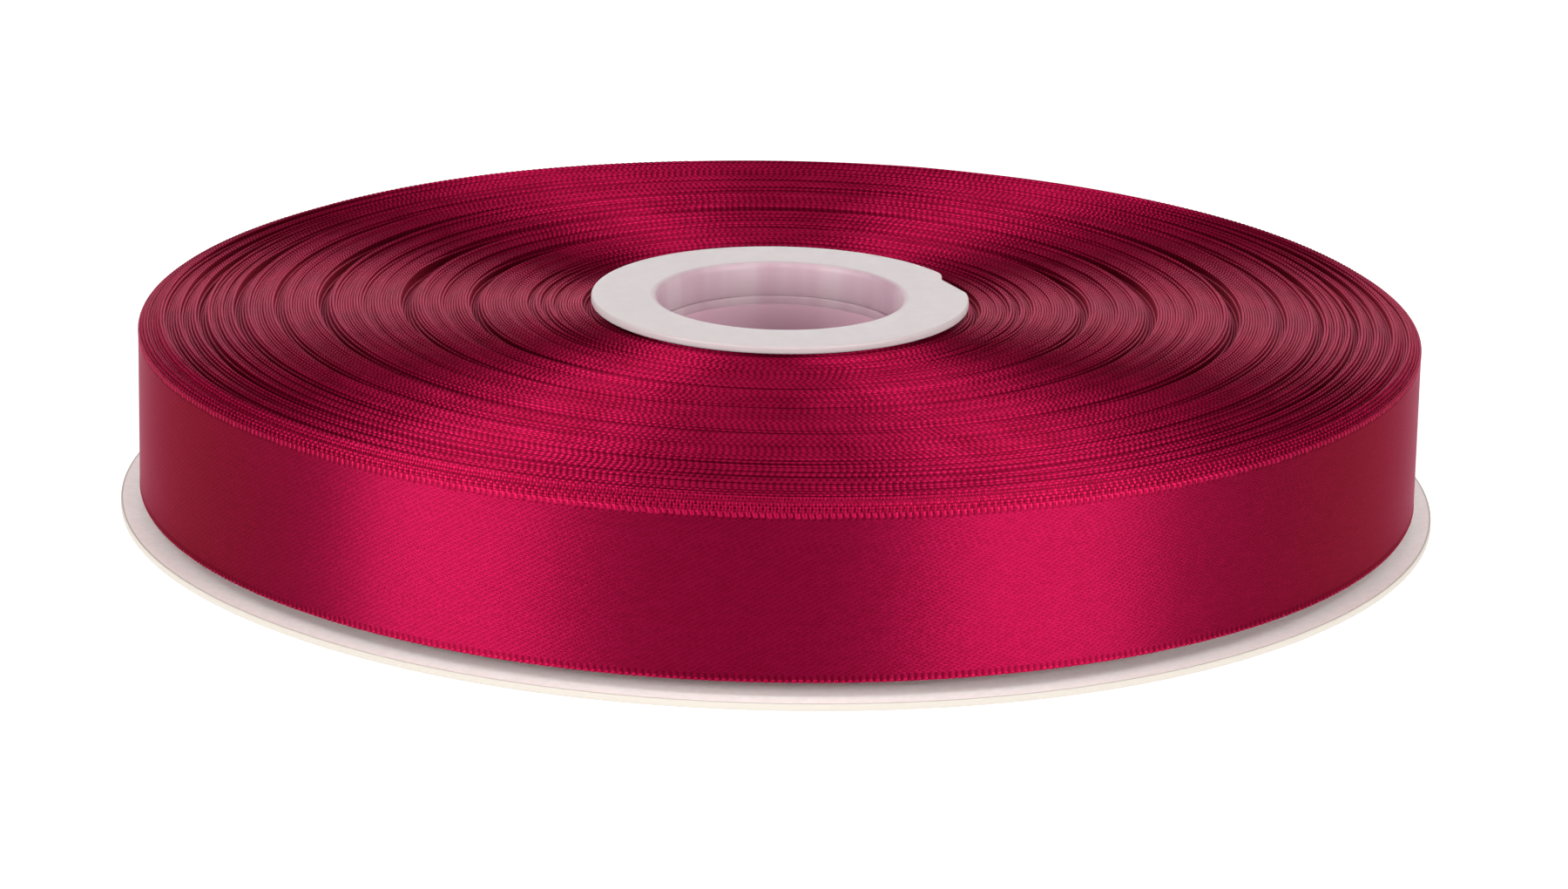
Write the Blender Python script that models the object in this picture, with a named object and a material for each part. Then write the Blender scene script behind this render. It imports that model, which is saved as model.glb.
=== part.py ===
"""A bulk roll of satin ribbon, wound on a two-part flanged plastic hub that carries one paperboard disc.

The frame has +Z up and its origin on the hub's axis, at the face that the spool stands on.
From the bottom up there are: the lower hub half, whose flange holds the disc, the loose disc,
the roll of ribbon on the barrel, and the upper hub half, pushed over the lower one's neck.
A strip of tape fixes the ribbon's start to the barrel, and another holds its free end.
Lengths are in metres and angles in degrees.
"""

import math

import bpy

# The ribbon
RIBBON_LENGTH = 45.72  # fifty yards
RIBBON_WIDTH = 0.016
RIBBON_THICKNESS = 0.000259
ROLL_CREST = 0.0014  # how far the turns ride up where the roll is highest
ROLL_INNER_RISE = 0.0006  # and beside the barrel; the outermost turn sits at zero
CREST_PLACE = 0.6  # where the crest lies, from the barrel at 0 to the rim at 1

# The disc
DISC_THICKNESS = 0.0007
DISC_OVERHANG = 0.0018  # how far the disc reaches past the roll
ROLL_HEADROOM = 0.0013  # open height between the disc and the outermost turn

# The hub
SPINDLE_BORE_RADIUS = 0.0116
BARREL_WALL = 0.0018
FLANGE_WIDTH = 0.0052  # how far a flange stands out from the barrel
FLANGE_THICKNESS = 0.0008
FLANGE_ROOM = 0.0013  # open height between the ribbon and the upper flange
LIP_RADIUS = 0.0006  # rounding where a flange turns into the bore
RIM_RADIUS = 0.00025  # rounding of a flange's outer edge
NECK_LENGTH = 0.0060
NECK_WALL = 0.00085
LEDGE_DEPTH = 0.0034  # from the upper face down to the end of the neck
LEDGE_WIDTH = 0.0005  # how much wider the upper half's bore is than the lower one's
LEAD_IN_DEPTH = 0.0008  # the shallow step just inside the neck's end
LEAD_IN_WIDTH = 0.00015

# The notch in each flange's edge: a straight flat, then a rounded step back to the rim
NOTCH_START = 7.1
NOTCH_LOW = 23.6
NOTCH_END = 31.2
NOTCH_DEPTH = 0.0010
NOTCH_STEPS = 6
CUTTER_MARGIN = 0.0010

# The tapes
TAPE_THICKNESS = 0.00015
START_TAPE_LENGTH = 0.020
START_TAPE_HEIGHT = 0.0070
END_TAPE_LENGTH = 0.025
END_TAPE_HEIGHT = 0.0120
END_TAPE_ANGLE = 100.0  # from +X towards +Y, so at the back
TAPE_STEPS = 10

# Fits
MOULDING_GAP = 0.0003  # between pieces that touch on the real object
DISC_CLEARANCE = 0.00035  # radial, so that the disc turns on the barrel

# Facets
HUB_SEGMENTS = 72
ROLL_SEGMENTS = 96
ARC_STEPS = 3
ROLL_STATIONS = 7
SMOOTH_ANGLE = math.radians(35)

# Radii that follow from the sizes above
BARREL_RADIUS = SPINDLE_BORE_RADIUS + BARREL_WALL
FLANGE_RADIUS = BARREL_RADIUS + FLANGE_WIDTH
NECK_RADIUS = SPINDLE_BORE_RADIUS + LEAD_IN_WIDTH + NECK_WALL
SOCKET_RADIUS = NECK_RADIUS + MOULDING_GAP
COLLAR_BORE_RADIUS = SPINDLE_BORE_RADIUS + LEDGE_WIDTH
START_TAPE_RADIUS = BARREL_RADIUS + MOULDING_GAP
ROLL_INNER_RADIUS = START_TAPE_RADIUS + TAPE_THICKNESS + MOULDING_GAP
ROLL_RADIUS = math.sqrt(ROLL_INNER_RADIUS**2 + RIBBON_LENGTH * RIBBON_THICKNESS / math.pi)
CREST_RADIUS = ROLL_INNER_RADIUS + CREST_PLACE * (ROLL_RADIUS - ROLL_INNER_RADIUS)
DISC_RADIUS = ROLL_RADIUS + DISC_OVERHANG
DISC_HOLE_RADIUS = BARREL_RADIUS + DISC_CLEARANCE

# Heights that follow from the sizes above
DISC_BOTTOM = FLANGE_THICKNESS + MOULDING_GAP
DISC_TOP = DISC_BOTTOM + DISC_THICKNESS
ROLL_BOTTOM = DISC_TOP + ROLL_HEADROOM
ROLL_TOP = ROLL_BOTTOM + RIBBON_WIDTH
UPPER_FLANGE_BOTTOM = ROLL_TOP + ROLL_INNER_RISE + FLANGE_ROOM
HUB_TOP = UPPER_FLANGE_BOTTOM + FLANGE_THICKNESS
NECK_TOP = HUB_TOP - LEDGE_DEPTH
SHOULDER = NECK_TOP - NECK_LENGTH


def clear_scene():
    for old in list(bpy.data.objects):
        bpy.data.objects.remove(old, do_unlink=True)


def plain_material(name, colour, roughness, transmission=0.0, alpha=1.0):
    material = bpy.data.materials.new(name)
    material.use_nodes = True
    shader = material.node_tree.nodes["Principled BSDF"]
    shader.inputs["Base Color"].default_value = (*colour, 1.0)
    shader.inputs["Roughness"].default_value = roughness
    shader.inputs["Metallic"].default_value = 0.0
    shader.inputs["Transmission Weight"].default_value = transmission
    shader.inputs["Alpha"].default_value = alpha
    return material


def arc(centre_r, centre_z, radius, start, end):
    """Points of an arc in the (r, z) plane, ends included; angles from +r towards +z."""
    points = []
    for step in range(ARC_STEPS + 1):
        angle = math.radians(start + (end - start) * step / ARC_STEPS)
        points.append((centre_r + radius * math.cos(angle), centre_z + radius * math.sin(angle)))
    return points


def add_object(name, vertices, edges, faces, material):
    mesh = bpy.data.meshes.new(name)
    mesh.from_pydata(vertices, edges, faces)
    mesh.materials.append(material)
    obj = bpy.data.objects.new(name, mesh)
    bpy.context.scene.collection.objects.link(obj)
    return obj


def turned(name, profile, segments, material):
    """A solid of revolution about Z. The closed profile runs down its outer side."""
    count = len(profile)
    vertices = [(r, 0.0, z) for r, z in profile]
    edges = [(i, (i + 1) % count) for i in range(count)]
    obj = add_object(name, vertices, edges, [], material)
    screw = obj.modifiers.new("turn", "SCREW")
    screw.steps = segments
    screw.render_steps = segments
    screw.use_merge_vertices = True
    screw.merge_threshold = 0.00001
    screw.use_smooth_shade = True
    return obj


def shade_round(obj):
    """Bake the modifiers into the mesh, then shade it smooth with sharp edges at its corners."""
    depsgraph = bpy.context.evaluated_depsgraph_get()
    mesh = bpy.data.meshes.new_from_object(obj.evaluated_get(depsgraph))
    obj.modifiers.clear()
    obj.data = mesh
    mesh.shade_smooth()
    mesh.set_sharp_from_angle(angle=SMOOTH_ANGLE)


def prism(name, outline, bottom, top, material):
    """A closed prism over an outline given counter-clockwise, seen from above."""
    count = len(outline)
    vertices = [(x, y, bottom) for x, y in outline] + [(x, y, top) for x, y in outline]
    sides = [(i, (i + 1) % count, (i + 1) % count + count, i + count) for i in range(count)]
    faces = sides + [tuple(reversed(range(count))), tuple(range(count, 2 * count))]
    return add_object(name, vertices, [], faces, material)


def polar(radius, angle):
    return (radius * math.cos(math.radians(angle)), radius * math.sin(math.radians(angle)))


def notch_outline():
    """The area cut from a flange's edge: the flat, the rounded step, and back outside the rim."""
    start = polar(FLANGE_RADIUS, NOTCH_START)
    low_radius = FLANGE_RADIUS - NOTCH_DEPTH
    low = polar(low_radius, NOTCH_LOW)
    run_out = CUTTER_MARGIN / math.dist(start, low)
    beyond = (start[0] + (start[0] - low[0]) * run_out, start[1] + (start[1] - low[1]) * run_out)
    inner = [beyond]
    for step in range(NOTCH_STEPS + 1):
        share = step / NOTCH_STEPS
        rise = (1.0 - math.cos(math.pi * share)) / 2.0
        angle = NOTCH_LOW + (NOTCH_END - NOTCH_LOW) * share
        inner.append(polar(low_radius + (NOTCH_DEPTH + RIM_RADIUS) * rise, angle))
    far_radius = FLANGE_RADIUS + 2.0 * CUTTER_MARGIN
    outer = [polar(far_radius, NOTCH_END), polar(far_radius, NOTCH_LOW), polar(far_radius, 0.0)]
    return list(reversed(inner + outer))


def cut_notch(flange, bottom, top, material):
    cutter = prism(
        flange.name + "_notch_cutter",
        notch_outline(),
        bottom - CUTTER_MARGIN,
        top + CUTTER_MARGIN,
        material,
    )
    cutter.hide_render = True
    cutter.display_type = "WIRE"
    boolean = flange.modifiers.new("notch", "BOOLEAN")
    boolean.operation = "DIFFERENCE"
    boolean.solver = "EXACT"
    boolean.object = cutter
    return cutter


def lower_hub_profile():
    """Flange, barrel, shoulder and neck, then down the bore, from the flange's outer edge."""
    lip = SPINDLE_BORE_RADIUS + LIP_RADIUS
    flange_edge = FLANGE_RADIUS - RIM_RADIUS
    profile = [(NECK_RADIUS, NECK_TOP), (NECK_RADIUS, SHOULDER)]
    profile += [(BARREL_RADIUS, SHOULDER), (BARREL_RADIUS, FLANGE_THICKNESS)]
    profile += arc(flange_edge, FLANGE_THICKNESS - RIM_RADIUS, RIM_RADIUS, 90.0, 0.0)
    profile += arc(flange_edge, RIM_RADIUS, RIM_RADIUS, 0.0, -90.0)
    profile += arc(lip, LIP_RADIUS, LIP_RADIUS, 270.0, 180.0)
    profile += [(SPINDLE_BORE_RADIUS, NECK_TOP - LEAD_IN_DEPTH)]
    profile += [(SPINDLE_BORE_RADIUS + LEAD_IN_WIDTH, NECK_TOP - LEAD_IN_DEPTH)]
    profile += [(SPINDLE_BORE_RADIUS + LEAD_IN_WIDTH, NECK_TOP)]
    return profile


def upper_hub_profile():
    """Flange and collar, then the socket over the neck and the bore, from the flange's outer edge."""
    lip = COLLAR_BORE_RADIUS + LIP_RADIUS
    flange_edge = FLANGE_RADIUS - RIM_RADIUS
    profile = arc(flange_edge, HUB_TOP - RIM_RADIUS, RIM_RADIUS, 90.0, 0.0)
    profile += arc(flange_edge, UPPER_FLANGE_BOTTOM + RIM_RADIUS, RIM_RADIUS, 0.0, -90.0)
    profile += [(BARREL_RADIUS, UPPER_FLANGE_BOTTOM), (BARREL_RADIUS, SHOULDER + MOULDING_GAP)]
    profile += [(SOCKET_RADIUS, SHOULDER + MOULDING_GAP), (SOCKET_RADIUS, NECK_TOP + MOULDING_GAP)]
    profile += [(COLLAR_BORE_RADIUS, NECK_TOP + MOULDING_GAP)]
    profile += arc(lip, HUB_TOP - LIP_RADIUS, LIP_RADIUS, 180.0, 90.0)
    return profile


def roll_rise(radius):
    """How far the turn at this radius rides above the outermost one."""
    if radius <= CREST_RADIUS:
        share = (radius - ROLL_INNER_RADIUS) / (CREST_RADIUS - ROLL_INNER_RADIUS)
        low = ROLL_INNER_RISE
    else:
        share = (ROLL_RADIUS - radius) / (ROLL_RADIUS - CREST_RADIUS)
        low = 0.0
    return low + (ROLL_CREST - low) * math.sin(share * math.pi / 2.0)


def roll_profile():
    """Crowned top, outer wall, bottom of the same form and inner wall: the ribbon keeps its width."""
    span = ROLL_RADIUS - ROLL_INNER_RADIUS
    radii = [ROLL_INNER_RADIUS + span * step / ROLL_STATIONS for step in range(ROLL_STATIONS + 1)]
    top = [(r, ROLL_TOP + roll_rise(r)) for r in radii]
    bottom = [(r, ROLL_BOTTOM + roll_rise(r)) for r in reversed(radii)]
    return top + bottom


def disc_profile():
    outer = [(DISC_RADIUS, DISC_TOP), (DISC_RADIUS, DISC_BOTTOM)]
    return outer + [(DISC_HOLE_RADIUS, DISC_BOTTOM), (DISC_HOLE_RADIUS, DISC_TOP)]


def tape_strip(name, radius, length, height, middle_z, middle_angle, material):
    """A strip bent round the axis, with its inner face at the given radius."""
    sweep = math.degrees(length / radius)
    angles = [middle_angle + sweep * (step / TAPE_STEPS - 0.5) for step in range(TAPE_STEPS + 1)]
    outer = [polar(radius + TAPE_THICKNESS, angle) for angle in angles]
    inner = [polar(radius, angle) for angle in reversed(angles)]
    return prism(name, outer + inner, middle_z - height / 2.0, middle_z + height / 2.0, material)


def build():
    clear_scene()
    hub_plastic = plain_material("hub_plastic", (0.72, 0.68, 0.68), 0.35, transmission=0.3)
    board = plain_material("disc_board", (0.80, 0.77, 0.73), 0.75)
    satin = plain_material("ribbon_satin", (0.43, 0.005, 0.05), 0.40)
    clear_tape = plain_material("clear_tape", (0.85, 0.85, 0.82), 0.20, alpha=0.4)

    lower_hub = turned("lower_hub", lower_hub_profile(), HUB_SEGMENTS, hub_plastic)
    cut_notch(lower_hub, 0.0, FLANGE_THICKNESS, hub_plastic)
    upper_hub = turned("upper_hub", upper_hub_profile(), HUB_SEGMENTS, hub_plastic)
    cut_notch(upper_hub, UPPER_FLANGE_BOTTOM, HUB_TOP, hub_plastic)
    base_disc = turned("base_disc", disc_profile(), ROLL_SEGMENTS, board)
    ribbon_roll = turned("ribbon_roll", roll_profile(), ROLL_SEGMENTS, satin)
    for round_piece in (lower_hub, upper_hub, base_disc, ribbon_roll):
        shade_round(round_piece)

    barrel_middle = (ROLL_BOTTOM + ROLL_INNER_RISE + SHOULDER) / 2.0
    tape_strip("start_tape", START_TAPE_RADIUS, START_TAPE_LENGTH, START_TAPE_HEIGHT,
               barrel_middle, 0.0, clear_tape)
    wall_middle = (ROLL_BOTTOM + ROLL_TOP) / 2.0
    tape_strip("end_tape", ROLL_RADIUS + MOULDING_GAP, END_TAPE_LENGTH, END_TAPE_HEIGHT,
               wall_middle, END_TAPE_ANGLE, clear_tape)


build()
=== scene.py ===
# %% [markdown]
# # A bulk roll of satin ribbon
#
# The object is a roll of crimson satin ribbon on a white moulded hub, over a paperboard disc.
# The frame below holds its solids at their real size, and the main sizes are read from them.
# A roll like this is one long strip that is wound edge to edge, so its top face isn't a surface
# at all: it is about 190 selvage edges, side by side. That is why the ribbon is wound here too,
# turn by turn, and not modelled as a ring with lines painted on it.

# %% Load the frame
import math
import random

import bmesh
import bpy
from mathutils import Matrix, Vector


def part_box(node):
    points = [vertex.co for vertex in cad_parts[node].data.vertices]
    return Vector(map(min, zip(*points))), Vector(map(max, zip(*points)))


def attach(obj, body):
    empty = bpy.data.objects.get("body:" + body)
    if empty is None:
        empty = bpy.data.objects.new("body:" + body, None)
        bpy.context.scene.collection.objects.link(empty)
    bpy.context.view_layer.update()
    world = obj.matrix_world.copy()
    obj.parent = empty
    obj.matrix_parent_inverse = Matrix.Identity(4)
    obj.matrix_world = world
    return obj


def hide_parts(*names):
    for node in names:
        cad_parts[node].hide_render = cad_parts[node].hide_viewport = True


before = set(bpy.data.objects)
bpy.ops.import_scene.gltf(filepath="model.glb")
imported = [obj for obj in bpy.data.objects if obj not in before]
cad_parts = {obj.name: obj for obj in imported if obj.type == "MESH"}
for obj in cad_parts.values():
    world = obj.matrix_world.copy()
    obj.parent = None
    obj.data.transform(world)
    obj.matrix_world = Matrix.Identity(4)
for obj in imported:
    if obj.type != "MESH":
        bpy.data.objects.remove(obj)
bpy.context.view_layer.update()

MM = 0.001

# %% [markdown]
# ## Sizes from the frame
#
# The roll and the disc are rings, so four numbers describe each one: the radius of its hole, its
# outer radius, and its lowest and highest point. They come from the vertices of the frame's own
# nodes, so the ribbon fills exactly the ring that stands for it there.

# %% Measure the rings
def ring_sizes(node):
    """Hole radius, outer radius, lowest and highest point of a ring in the frame."""
    radii = [math.hypot(vertex.co.x, vertex.co.y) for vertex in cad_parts[node].data.vertices]
    low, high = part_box(node)
    return min(radii), max(radii), low.z, high.z


ROLL_HOLE, ROLL_RADIUS, ROLL_LOW, ROLL_HIGH = ring_sizes("ribbon_roll")
BORE, _, _, NECK_TOP = ring_sizes("lower_hub")
COLLAR_BORE, FLANGE_RADIUS, SHOULDER, HUB_TOP = ring_sizes("upper_hub")
FLANGE_THICKNESS = 0.8 * MM  # this and the two ribbon sizes are the part's own, repeated here
UPPER_FLANGE_BOTTOM = HUB_TOP - FLANGE_THICKNESS
RIBBON_WIDTH = 16.0 * MM
RIBBON_LENGTH = 45.72
TURN_PITCH = math.pi * (ROLL_RADIUS**2 - ROLL_HOLE**2) / RIBBON_LENGTH
TURNS = (ROLL_RADIUS - ROLL_HOLE) / TURN_PITCH
CREST = ROLL_HIGH - ROLL_LOW - RIBBON_WIDTH
print(f"{TURNS:.1f} turns, {TURN_PITCH / MM:.3f} mm apart, and the crest rises {CREST / MM:.2f} mm")

# %% [markdown]
# ## The camera
#
# The roll is seen from a little above, through a long lens, so its circles stay almost true
# ellipses. A long lens far away gives that; moving a short lens closer would swell the front.
# The camera also leans over by about a degree, which lowers the right side of the picture.

# %% Place the camera
CAMERA_PLACE = (1.2 * MM, -598.0 * MM, 187.2 * MM)
CAMERA_DOWN = math.radians(16.82)
CAMERA_LEAN = math.radians(1.11)
CAMERA_TURN = math.radians(0.05)
LENS = 144.6


def new_object(name, data):
    """Makes an object for this mesh, curve, lamp or camera and puts it in the scene."""
    obj = bpy.data.objects.new(name, data)
    bpy.context.scene.collection.objects.link(obj)
    return obj


camera_data = bpy.data.cameras.new("camera")
camera_data.lens = LENS
camera_data.sensor_width = 36.0
camera = new_object("camera", camera_data)
look = Matrix.Rotation(CAMERA_TURN, 4, "Z") @ Matrix.Rotation(math.pi / 2 - CAMERA_DOWN, 4, "X")
look = look @ Matrix.Rotation(CAMERA_LEAN, 4, "Z")
camera.matrix_world = Matrix.Translation(CAMERA_PLACE) @ look
bpy.context.scene.camera = camera
print(f"the camera stands {Vector(CAMERA_PLACE).length / MM:.0f} mm from the middle of the spool")

# %% [markdown]
# ## Writing node trees
#
# Materials and Geometry Nodes are both node trees. Three short helpers make them readable as
# text: `plug` gives a socket a number or a link, `add` makes a node with its settings and
# inputs, and `calc` is one step of arithmetic. The others are built from these three.

# %% Helpers for node trees
def plug(tree, socket, value):
    if isinstance(value, bpy.types.NodeSocket):
        tree.links.new(value, socket)
    else:
        socket.default_value = value


def add(tree, kind, inputs=None, **settings):
    node = tree.nodes.new(kind)
    for name, value in settings.items():
        setattr(node, name, value)
    for name, value in (inputs or {}).items():
        plug(tree, node.inputs[name], value)
    return node


def calc(tree, operation, *values):
    node = tree.nodes.new("ShaderNodeMath")
    node.operation = operation
    for socket, value in zip(node.inputs, values):
        plug(tree, socket, value)
    return node.outputs[0]


def remap(tree, value, from_low, from_high, to_low, to_high, kind="LINEAR"):
    limits = {"Value": value, "From Min": from_low, "From Max": from_high}
    limits.update({"To Min": to_low, "To Max": to_high})
    return add(tree, "ShaderNodeMapRange", limits, interpolation_type=kind).outputs["Result"]


def blend_colour(tree, factor, first, second):
    node = add(tree, "ShaderNodeMix", data_type="RGBA")
    plug(tree, node.inputs[0], factor)
    plug(tree, node.inputs[6], first)
    plug(tree, node.inputs[7], second)
    return node.outputs[2]


def new_material(name):
    """A material with one Principled shader; returns the material, its tree and the shader."""
    material = bpy.data.materials.new(name)
    material.use_nodes = True
    return material, material.node_tree, material.node_tree.nodes["Principled BSDF"]


def settle(shader, values):
    """Sets the sockets that are the same all over the surface."""
    for name, value in values.items():
        shader.inputs[name].default_value = value


def object_place(tree):
    return add(tree, "ShaderNodeTexCoord").outputs["Object"]


def noise_at(tree, place, scale, detail):
    """Smooth noise, mostly from 0.3 to 0.7, at a place."""
    node = add(tree, "ShaderNodeTexNoise", {"Scale": scale, "Detail": detail})
    plug(tree, node.inputs["Vector"], place)
    return node.outputs["Fac"]


def axis_distance(tree, place):
    """How far a place is from the object's upright axis, and its height."""
    split = add(tree, "ShaderNodeSeparateXYZ", {"Vector": place}).outputs
    flat = add(tree, "ShaderNodeCombineXYZ", {"X": split["X"], "Y": split["Y"]})
    reach = add(tree, "ShaderNodeVectorMath", {"Vector": flat.outputs[0]}, operation="LENGTH")
    return reach.outputs["Value"], split["Z"]


def raise_surface(tree, shader, height, distance):
    bump = add(tree, "ShaderNodeBump", {"Height": height, "Distance": distance, "Strength": 1.0})
    plug(tree, shader.inputs["Normal"], bump.outputs["Normal"])


# %% [markdown]
# ## The satin
#
# Satin is woven so that long warp threads float over the surface, side by side, and each dips
# under only now and then. The floats run along the ribbon, so a light is smeared across them,
# up and down the wall: that is the broad upright shine of a roll. An anisotropic shader does
# this. The dips make a fine slanted pattern of dashes. At both edges the weft turns back round
# the last threads, which makes the selvage: a row of small loops.
#
# The pattern has to follow the strip round 190 turns. So the winding below stores two numbers
# on every point, how far along the ribbon and how far across it the point is, and the material
# reads those instead of a place in space.

# %% The weave as a pattern
LOOP_PITCH = 0.63 * MM
LOOP_HEIGHT = 0.70 * MM
FLOAT_LENGTH = 0.74 * MM
FLOAT_ROW = 0.18 * MM
FLOAT_SHIFT = 0.40
FLOAT_STRAY = 0.22
MASK_BLUR = 0.06 * MM


def strip_coordinates(tree):
    along = add(tree, "ShaderNodeAttribute", attribute_name="along").outputs["Fac"]
    across = add(tree, "ShaderNodeAttribute", attribute_name="across").outputs["Fac"]
    return along, across


def float_pattern(tree, along, across):
    """Crowned floats in rows that shift along the ribbon: their height and a random tone."""
    row = calc(tree, "DIVIDE", across, FLOAT_ROW)
    row_number = calc(tree, "FLOOR", row)
    stray = add(tree, "ShaderNodeTexWhiteNoise", {"W": row_number}, noise_dimensions="1D")
    start = calc(tree, "MULTIPLY_ADD", stray.outputs["Value"], FLOAT_STRAY,
                 calc(tree, "MULTIPLY", row_number, FLOAT_SHIFT))
    shifted = calc(tree, "ADD", calc(tree, "DIVIDE", along, FLOAT_LENGTH), start)
    cell = add(tree, "ShaderNodeCombineXYZ", {"X": calc(tree, "FLOOR", shifted), "Y": row_number})
    tone = add(tree, "ShaderNodeTexWhiteNoise", {"Vector": cell.outputs[0]}, noise_dimensions="2D")
    length_wave = calc(tree, "SINE", calc(tree, "MULTIPLY", calc(tree, "FRACT", shifted), math.pi))
    row_wave = calc(tree, "SINE", calc(tree, "MULTIPLY", calc(tree, "FRACT", row), math.pi))
    length_wave = calc(tree, "POWER", length_wave, 0.6)
    crown = calc(tree, "MULTIPLY", length_wave, calc(tree, "POWER", row_wave, 0.5))
    return crown, tone.outputs["Value"]


def loop_pattern(tree, along):
    """1 on the crown of a selvage loop and 0 between two loops."""
    phase = calc(tree, "MULTIPLY", along, 2.0 * math.pi / LOOP_PITCH)
    return calc(tree, "MULTIPLY_ADD", calc(tree, "SINE", phase), 0.5, 0.5)


def selvage_mask(tree, across):
    """1 on the loops at both edges and 0 on the satin face."""
    from_middle = calc(tree, "ABSOLUTE", calc(tree, "SUBTRACT", across, RIBBON_WIDTH / 2))
    inner = RIBBON_WIDTH / 2 - LOOP_HEIGHT
    return remap(tree, from_middle, inner - MASK_BLUR, inner + MASK_BLUR, 0.0, 1.0)


# %% [markdown]
# The weave alone would look like a print. On cloth each float also catches the light on its crown
# and the thread between two floats lies deeper, in shade, so the pattern drives three things at
# once: the colour, with painted shade between the floats, a small relief and how rough the surface
# is.

# %% The satin face
FLOAT_RISE = 0.014 * MM
TONE_SHARE = 0.30
SATIN_ROUGHNESS = (0.44, 0.55)  # on the floats and on the loops
SATIN_COLOUR = (0.234, 0.0022, 0.033, 1.0)
# painted shade: the colour of the gaps between the floats and between the loops
SATIN_GAP_SHADE = (0.125, 0.0001, 0.010, 1.0)
SATIN_SHINE = (0.90, 0.28, 0.42, 1.0)
SATIN_SHEEN = (0.9, 0.55, 0.62, 1.0)


def smear_light(tree, shader, amount):
    """Spreads reflections across the floats: up and down on the wall, outwards on the top."""
    tangent = add(tree, "ShaderNodeTangent", direction_type="RADIAL", axis="Z")
    plug(tree, shader.inputs["Tangent"], tangent.outputs["Tangent"])
    settle(shader, {"Anisotropic": amount, "Anisotropic Rotation": 0.25})


def make_satin():
    material, tree, shader = new_material("crimson satin")
    along, across = strip_coordinates(tree)
    mask = selvage_mask(tree, across)
    floats, tone = float_pattern(tree, along, across)
    loops = loop_pattern(tree, along)
    weave_and_gap_shade = add(tree, "ShaderNodeMix", data_type="FLOAT")
    plug(tree, weave_and_gap_shade.inputs[0], mask)
    plug(tree, weave_and_gap_shade.inputs[2], floats)
    plug(tree, weave_and_gap_shade.inputs[3], loops)
    drift = noise_at(tree, object_place(tree), 60.0, 2.0)
    # painted shade: the colour darkens in the weave's gaps, with a random tone for each float
    shade = remap(tree, weave_and_gap_shade.outputs[0], 0.0, 0.9, 0.0, 0.88)
    shade = calc(tree, "MULTIPLY_ADD", tone, TONE_SHARE, shade)
    shade = calc(tree, "ADD", shade, remap(tree, drift, 0.3, 0.7, -0.08, 0.08))
    plug(tree, shader.inputs["Base Color"], blend_colour(tree, shade, SATIN_GAP_SHADE, SATIN_COLOUR))
    plug(tree, shader.inputs["Roughness"], remap(tree, mask, 0.0, 1.0, *SATIN_ROUGHNESS))
    smear_light(tree, shader, 0.85)
    settle(shader, {"Metallic": 0.86, "Specular IOR Level": 0.50, "Specular Tint": SATIN_SHINE})
    settle(shader, {"Sheen Weight": 0.01, "Sheen Roughness": 0.30, "Sheen Tint": SATIN_SHEEN})
    relief = calc(tree, "MULTIPLY", weave_and_gap_shade.outputs[0], remap(tree, tone, 0.0, 1.0, 0.75, 1.15))
    raise_surface(tree, shader, relief, FLOAT_RISE)
    return material


SATIN = make_satin()
print("the floats are", FLOAT_LENGTH / MM, "mm long and", FLOAT_ROW / MM, "mm apart")

# %% [markdown]
# The selvage has the face's dye, but its loops stand out from the cloth and are loosely twisted, so
# they look lighter and less shiny. Their colour is lighter still, as painted light on the top of
# the roll, which these edges make. The edges of the wound turns get their loops from the pattern,
# with painted shade between the loops. The modelled loops further down have a shape already, so
# they only need wear.

# %% The selvage
SELVAGE_ROUGHNESS = 0.50
LOOP_RISE = 0.03 * MM
# lighter than the face: partly the loops' own paler look, partly painted light on the roll's top
SELVAGE_PALE_AND_LIT = (0.560, 0.008, 0.078, 1.0)
# painted shade between the loops of the wound turns, and a darker random tone on the modelled ribs
SELVAGE_SHADE_AND_DARK_TONE = (0.190, 0.0004, 0.017, 1.0)
SELVAGE_SHINE = (0.95, 0.55, 0.66, 1.0)


def finish_selvage(tree, shader, fullness):
    """The loops are pulled thread ends, so they scatter more light than the face; part of their
    lighter colour is painted light.
    """
    plug(tree, shader.inputs["Base Color"],
         blend_colour(tree, fullness, SELVAGE_SHADE_AND_DARK_TONE, SELVAGE_PALE_AND_LIT))
    smear_light(tree, shader, 0.80)
    settle(shader, {"Roughness": SELVAGE_ROUGHNESS, "Metallic": 0.80})
    settle(shader, {"Specular IOR Level": 0.25, "Specular Tint": SELVAGE_SHINE})


def make_edge_thread():
    """For the wound turns, whose loops are a pattern along the ribbon, with painted shade between
    them.
    """
    material, tree, shader = new_material("selvage of the turns")
    along, _ = strip_coordinates(tree)
    loops = loop_pattern(tree, along)
    drift = noise_at(tree, object_place(tree), 220.0, 2.0)
    wear = remap(tree, drift, 0.3, 0.7, -0.15, 0.15)
    # painted shade: darker between the loops, with random wear added
    fullness = calc(tree, "ADD", remap(tree, loops, 0.1, 0.8, 0.15, 0.80), wear)
    finish_selvage(tree, shader, fullness)
    raise_surface(tree, shader, loops, LOOP_RISE)
    return material


def make_rib_thread():
    """For the modelled ribs, which have their shape already."""
    material, tree, shader = new_material("selvage of the rim")
    drift = noise_at(tree, object_place(tree), 1500.0, 2.0)
    fullness = remap(tree, drift, 0.3, 0.7, 0.34, 0.62)
    finish_selvage(tree, shader, fullness)
    raise_surface(tree, shader, drift, 0.012 * MM)
    return material


EDGE_THREAD = make_edge_thread()
SATIN_RIB = make_rib_thread()
print("the selvage loops are", LOOP_PITCH / MM, "mm apart")

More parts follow.
